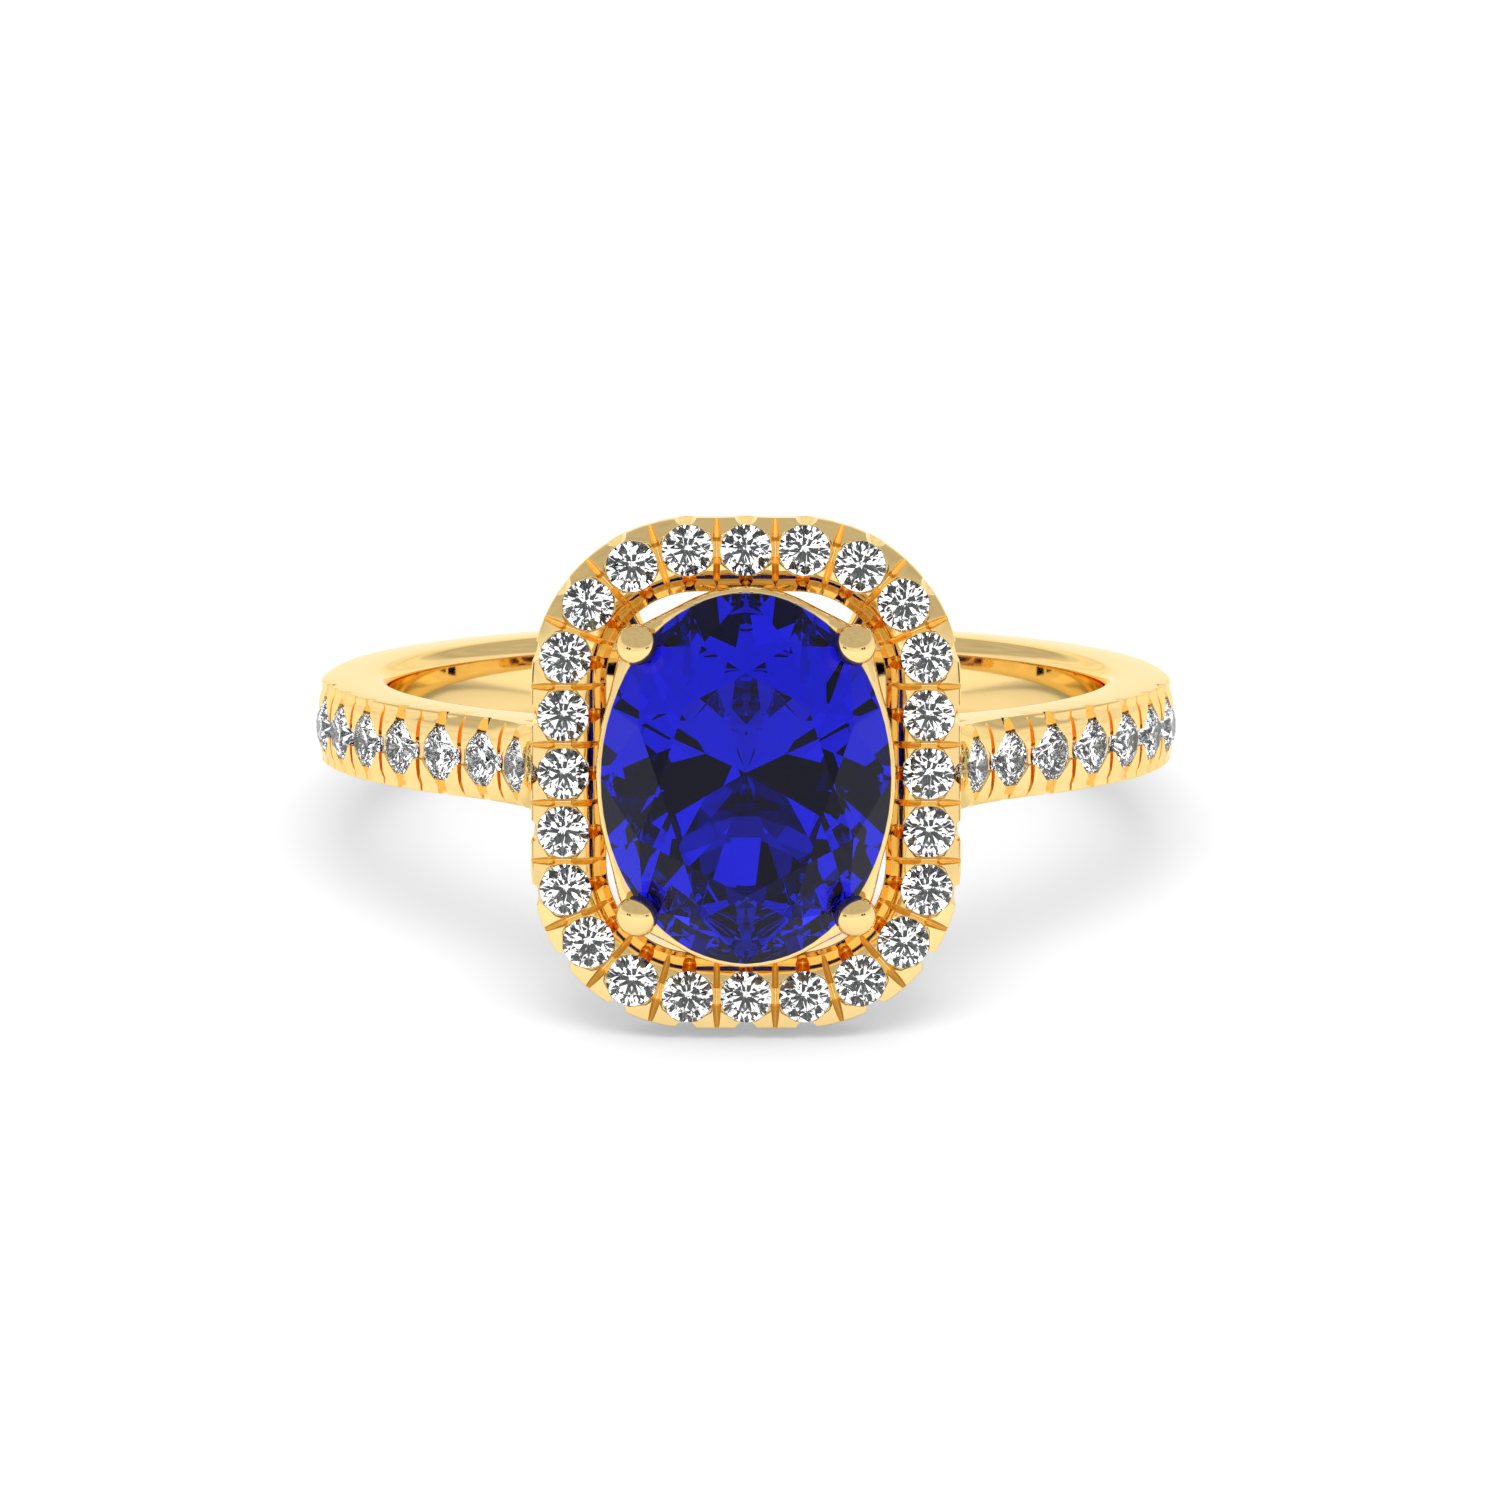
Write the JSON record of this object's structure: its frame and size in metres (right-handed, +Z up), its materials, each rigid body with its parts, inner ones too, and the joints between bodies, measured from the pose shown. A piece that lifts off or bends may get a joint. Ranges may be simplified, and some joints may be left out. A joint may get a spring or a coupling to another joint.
{
  "type": "engagement ring",
  "caption": "Yellow gold ring with an oval blue stone on ball prongs, a cushion-shaped diamond halo and cathedral shoulders set with small diamonds.",
  "frame": {"origin": "the centre of the finger bore", "axes": "the ring lies as it rests on a table: +Z up, -Y out of the head, +X to the right of someone who faces the head"},
  "size_m": [0.021, 0.0238, 0.0123],
  "materials": {
    "gold": "polished 18 k yellow gold",
    "sapphire": "faceted and polished",
    "diamond": "faceted and polished"
  },
  "bodies": {
    "root": {"band": "gold", "left_shoulder": "gold", "right_shoulder": "gold", "halo_frame": "gold", "upper_basket_rail": "gold", "lower_basket_rail": "gold", "prong_upper_left": "gold", "prong_upper_right": "gold", "prong_lower_left": "gold", "prong_lower_right": "gold", "bridge_upper_left": "gold", "bridge_upper_right": "gold", "bridge_lower_left": "gold", "bridge_lower_right": "gold", "centre_sapphire": "sapphire", "halo_diamond_01": "diamond", "halo_diamond_02": "diamond", "halo_diamond_03": "diamond", "halo_diamond_04": "diamond", "halo_diamond_05": "diamond", "halo_diamond_06": "diamond", "halo_diamond_07": "diamond", "halo_diamond_08": "diamond", "halo_diamond_09": "diamond", "halo_diamond_10": "diamond", "halo_diamond_11": "diamond", "halo_diamond_12": "diamond", "halo_diamond_13": "diamond", "halo_diamond_14": "diamond", "halo_diamond_15": "diamond", "halo_diamond_16": "diamond", "halo_diamond_17": "diamond", "halo_diamond_18": "diamond", "halo_diamond_19": "diamond", "halo_diamond_20": "diamond", "halo_diamond_21": "diamond", "halo_diamond_22": "diamond", "halo_diamond_23": "diamond", "halo_diamond_24": "diamond", "left_shoulder_diamond_1": "diamond", "left_shoulder_diamond_2": "diamond", "left_shoulder_diamond_3": "diamond", "left_shoulder_diamond_4": "diamond", "left_shoulder_diamond_5": "diamond", "left_shoulder_diamond_6": "diamond", "left_shoulder_diamond_7": "diamond", "right_shoulder_diamond_1": "diamond", "right_shoulder_diamond_2": "diamond", "right_shoulder_diamond_3": "diamond", "right_shoulder_diamond_4": "diamond", "right_shoulder_diamond_5": "diamond", "right_shoulder_diamond_6": "diamond", "right_shoulder_diamond_7": "diamond"}
  },
  "joints": []
}
